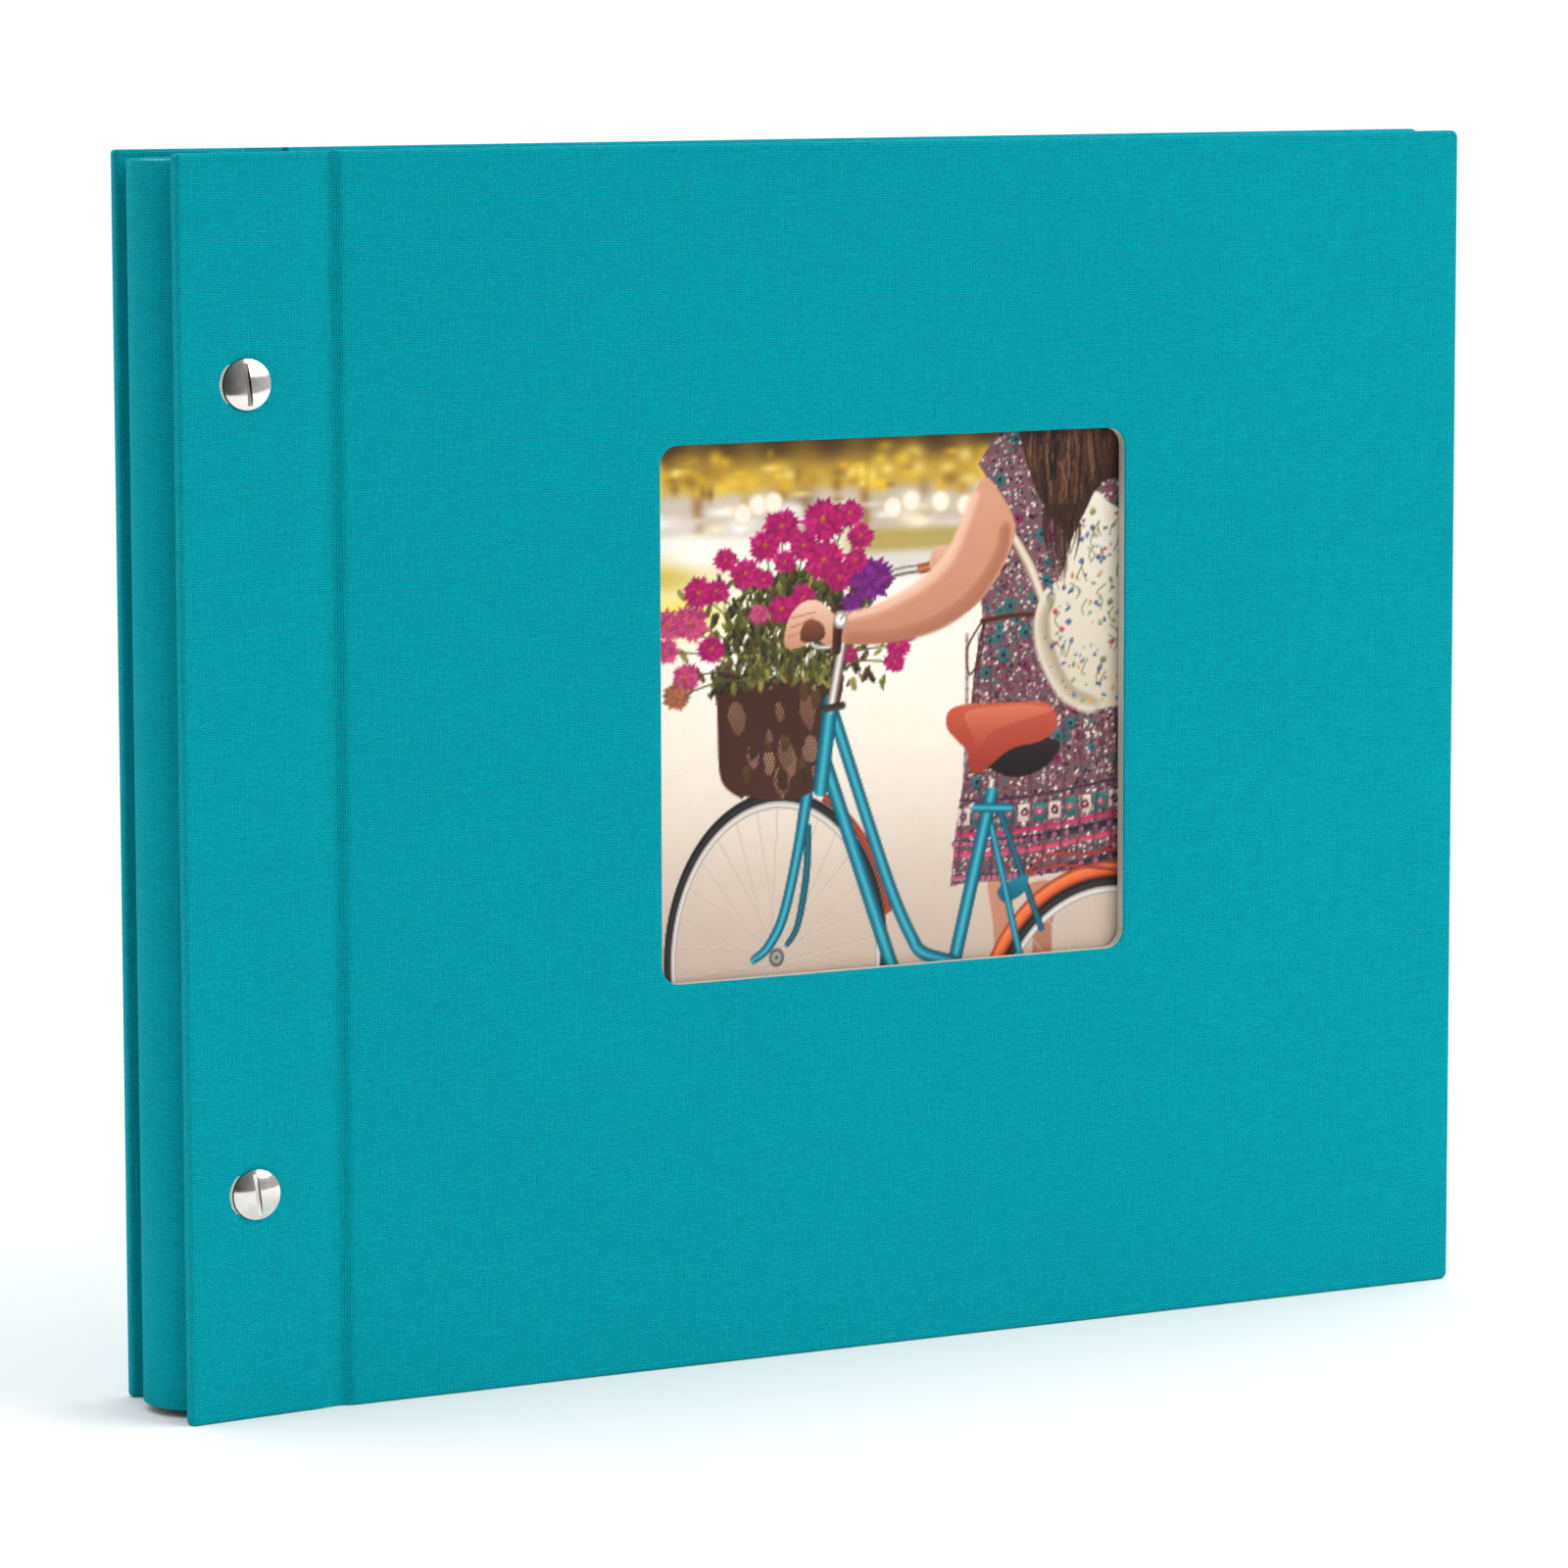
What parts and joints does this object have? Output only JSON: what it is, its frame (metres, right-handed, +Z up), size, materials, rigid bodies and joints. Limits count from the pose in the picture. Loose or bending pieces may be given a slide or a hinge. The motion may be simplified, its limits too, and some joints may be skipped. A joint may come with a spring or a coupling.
{
  "type": "scrapbook album",
  "caption": "Landscape screw-post album in linen bookcloth with a square window in its front cover, hinged covers, scored leaves and a sliding window print.",
  "frame": {"origin": "middle of the album's box, on the surface that the cover edges stand on", "axes": "+X from the spine to the fore edge, +Y from the front cover to the back cover, +Z up along the spine"},
  "size_m": [0.3024, 0.0338, 0.25],
  "materials": {
    "linen": "matte",
    "greyboard": "matte",
    "endpaper": "matte",
    "leaf_card": "matte",
    "print": "satin",
    "nickel": "polished"
  },
  "bodies": {
    "binding": {"front_hinge_board": "greyboard", "front_hinge_cloth": "linen", "back_hinge_board": "greyboard", "back_hinge_cloth": "linen", "spine_board": "greyboard", "spine_cloth": "linen", "binding_posts": "nickel", "leaf_stubs": "leaf_card"},
    "front_cover": {"front_board": "greyboard", "front_cloth": "linen", "front_liner": "endpaper", "window_pocket": "endpaper"},
    "back_cover": {"back_board": "greyboard", "back_cloth": "linen", "back_liner": "endpaper"},
    "print": {"window_print": "print"},
    "screw_lower": {"screw_lower": "nickel"},
    "screw_upper": {"screw_upper": "nickel"},
    "leaf_01": {"leaf_01": "leaf_card"},
    "leaf_02": {"leaf_02": "leaf_card"},
    "leaf_03": {"leaf_03": "leaf_card"},
    "leaf_04": {"leaf_04": "leaf_card"},
    "leaf_05": {"leaf_05": "leaf_card"},
    "leaf_06": {"leaf_06": "leaf_card"},
    "leaf_07": {"leaf_07": "leaf_card"},
    "leaf_08": {"leaf_08": "leaf_card"},
    "leaf_09": {"leaf_09": "leaf_card"},
    "leaf_10": {"leaf_10": "leaf_card"},
    "leaf_11": {"leaf_11": "leaf_card"},
    "leaf_12": {"leaf_12": "leaf_card"},
    "leaf_13": {"leaf_13": "leaf_card"},
    "leaf_14": {"leaf_14": "leaf_card"},
    "leaf_15": {"leaf_15": "leaf_card"},
    "leaf_16": {"leaf_16": "leaf_card"},
    "leaf_17": {"leaf_17": "leaf_card"},
    "leaf_18": {"leaf_18": "leaf_card"},
    "leaf_19": {"leaf_19": "leaf_card"},
    "leaf_20": {"leaf_20": "leaf_card"}
  },
  "joints": [
    {"name": "front_cover_hinge", "type": "hinge", "parent": "binding", "child": "front_cover", "pos_m": [-0.1173, -0.01385, 0.125], "axis": [0, 0, -1], "range_deg": [0, 165]},
    {"name": "back_cover_hinge", "type": "hinge", "parent": "binding", "child": "back_cover", "pos_m": [-0.1173, 0.01385, 0.125], "axis": [0, 0, 1], "range_deg": [0, 165]},
    {"name": "print_slide", "type": "slide", "parent": "front_cover", "child": "print", "axis": [0, 0, 1], "range_m": [0, 0.125]},
    {"name": "screw_lower_turn", "type": "hinge", "parent": "binding", "child": "screw_lower", "pos_m": [-0.1338, -0.01522, 0.045], "axis": [0, -1, 0], "continuous": true},
    {"name": "screw_upper_turn", "type": "hinge", "parent": "binding", "child": "screw_upper", "pos_m": [-0.1338, -0.01522, 0.205], "axis": [0, -1, 0], "continuous": true},
    {"name": "leaf_01_turn", "type": "hinge", "parent": "binding", "child": "leaf_01", "pos_m": [-0.1158, -0.00988, 0.125], "axis": [0, 0, -1], "range_deg": [0, 85]},
    {"name": "leaf_02_turn", "type": "hinge", "parent": "binding", "child": "leaf_02", "pos_m": [-0.1158, -0.00884, 0.125], "axis": [0, 0, -1], "range_deg": [0, 80.75]},
    {"name": "leaf_03_turn", "type": "hinge", "parent": "binding", "child": "leaf_03", "pos_m": [-0.1158, -0.0078, 0.125], "axis": [0, 0, -1], "range_deg": [0, 76.5]},
    {"name": "leaf_04_turn", "type": "hinge", "parent": "binding", "child": "leaf_04", "pos_m": [-0.1158, -0.00676, 0.125], "axis": [0, 0, -1], "range_deg": [0, 72.25]},
    {"name": "leaf_05_turn", "type": "hinge", "parent": "binding", "child": "leaf_05", "pos_m": [-0.1158, -0.00572, 0.125], "axis": [0, 0, -1], "range_deg": [0, 68]},
    {"name": "leaf_06_turn", "type": "hinge", "parent": "binding", "child": "leaf_06", "pos_m": [-0.1158, -0.00468, 0.125], "axis": [0, 0, -1], "range_deg": [0, 63.75]},
    {"name": "leaf_07_turn", "type": "hinge", "parent": "binding", "child": "leaf_07", "pos_m": [-0.1158, -0.00364, 0.125], "axis": [0, 0, -1], "range_deg": [0, 59.5]},
    {"name": "leaf_08_turn", "type": "hinge", "parent": "binding", "child": "leaf_08", "pos_m": [-0.1158, -0.0026, 0.125], "axis": [0, 0, -1], "range_deg": [0, 55.25]},
    {"name": "leaf_09_turn", "type": "hinge", "parent": "binding", "child": "leaf_09", "pos_m": [-0.1158, -0.00156, 0.125], "axis": [0, 0, -1], "range_deg": [0, 51]},
    {"name": "leaf_10_turn", "type": "hinge", "parent": "binding", "child": "leaf_10", "pos_m": [-0.1158, -0.00052, 0.125], "axis": [0, 0, -1], "range_deg": [0, 46.75]},
    {"name": "leaf_11_turn", "type": "hinge", "parent": "binding", "child": "leaf_11", "pos_m": [-0.1158, 0.00052, 0.125], "axis": [0, 0, -1], "range_deg": [0, 42.5]},
    {"name": "leaf_12_turn", "type": "hinge", "parent": "binding", "child": "leaf_12", "pos_m": [-0.1158, 0.00156, 0.125], "axis": [0, 0, -1], "range_deg": [0, 38.25]},
    {"name": "leaf_13_turn", "type": "hinge", "parent": "binding", "child": "leaf_13", "pos_m": [-0.1158, 0.0026, 0.125], "axis": [0, 0, -1], "range_deg": [0, 34]},
    {"name": "leaf_14_turn", "type": "hinge", "parent": "binding", "child": "leaf_14", "pos_m": [-0.1158, 0.00364, 0.125], "axis": [0, 0, -1], "range_deg": [0, 29.75]},
    {"name": "leaf_15_turn", "type": "hinge", "parent": "binding", "child": "leaf_15", "pos_m": [-0.1158, 0.00468, 0.125], "axis": [0, 0, -1], "range_deg": [0, 25.5]},
    {"name": "leaf_16_turn", "type": "hinge", "parent": "binding", "child": "leaf_16", "pos_m": [-0.1158, 0.00572, 0.125], "axis": [0, 0, -1], "range_deg": [0, 21.25]},
    {"name": "leaf_17_turn", "type": "hinge", "parent": "binding", "child": "leaf_17", "pos_m": [-0.1158, 0.00676, 0.125], "axis": [0, 0, -1], "range_deg": [0, 17]},
    {"name": "leaf_18_turn", "type": "hinge", "parent": "binding", "child": "leaf_18", "pos_m": [-0.1158, 0.0078, 0.125], "axis": [0, 0, -1], "range_deg": [0, 12.75]},
    {"name": "leaf_19_turn", "type": "hinge", "parent": "binding", "child": "leaf_19", "pos_m": [-0.1158, 0.00884, 0.125], "axis": [0, 0, -1], "range_deg": [0, 8.5]},
    {"name": "leaf_20_turn", "type": "hinge", "parent": "binding", "child": "leaf_20", "pos_m": [-0.1158, 0.00988, 0.125], "axis": [0, 0, -1], "range_deg": [0, 4.25]}
  ],
  "couplings": [
    {"joint": "leaf_01_turn", "follows": "front_cover_hinge", "ratio": 0.51515},
    {"joint": "leaf_02_turn", "follows": "front_cover_hinge", "ratio": 0.48939},
    {"joint": "leaf_03_turn", "follows": "front_cover_hinge", "ratio": 0.46364},
    {"joint": "leaf_04_turn", "follows": "front_cover_hinge", "ratio": 0.43788},
    {"joint": "leaf_05_turn", "follows": "front_cover_hinge", "ratio": 0.41212},
    {"joint": "leaf_06_turn", "follows": "front_cover_hinge", "ratio": 0.38636},
    {"joint": "leaf_07_turn", "follows": "front_cover_hinge", "ratio": 0.36061},
    {"joint": "leaf_08_turn", "follows": "front_cover_hinge", "ratio": 0.33485},
    {"joint": "leaf_09_turn", "follows": "front_cover_hinge", "ratio": 0.30909},
    {"joint": "leaf_10_turn", "follows": "front_cover_hinge", "ratio": 0.28333},
    {"joint": "leaf_11_turn", "follows": "front_cover_hinge", "ratio": 0.25757},
    {"joint": "leaf_12_turn", "follows": "front_cover_hinge", "ratio": 0.23182},
    {"joint": "leaf_13_turn", "follows": "front_cover_hinge", "ratio": 0.20606},
    {"joint": "leaf_14_turn", "follows": "front_cover_hinge", "ratio": 0.1803},
    {"joint": "leaf_15_turn", "follows": "front_cover_hinge", "ratio": 0.15454},
    {"joint": "leaf_16_turn", "follows": "front_cover_hinge", "ratio": 0.12879},
    {"joint": "leaf_17_turn", "follows": "front_cover_hinge", "ratio": 0.10303},
    {"joint": "leaf_18_turn", "follows": "front_cover_hinge", "ratio": 0.077272},
    {"joint": "leaf_19_turn", "follows": "front_cover_hinge", "ratio": 0.051515},
    {"joint": "leaf_20_turn", "follows": "front_cover_hinge", "ratio": 0.025757}
  ]
}
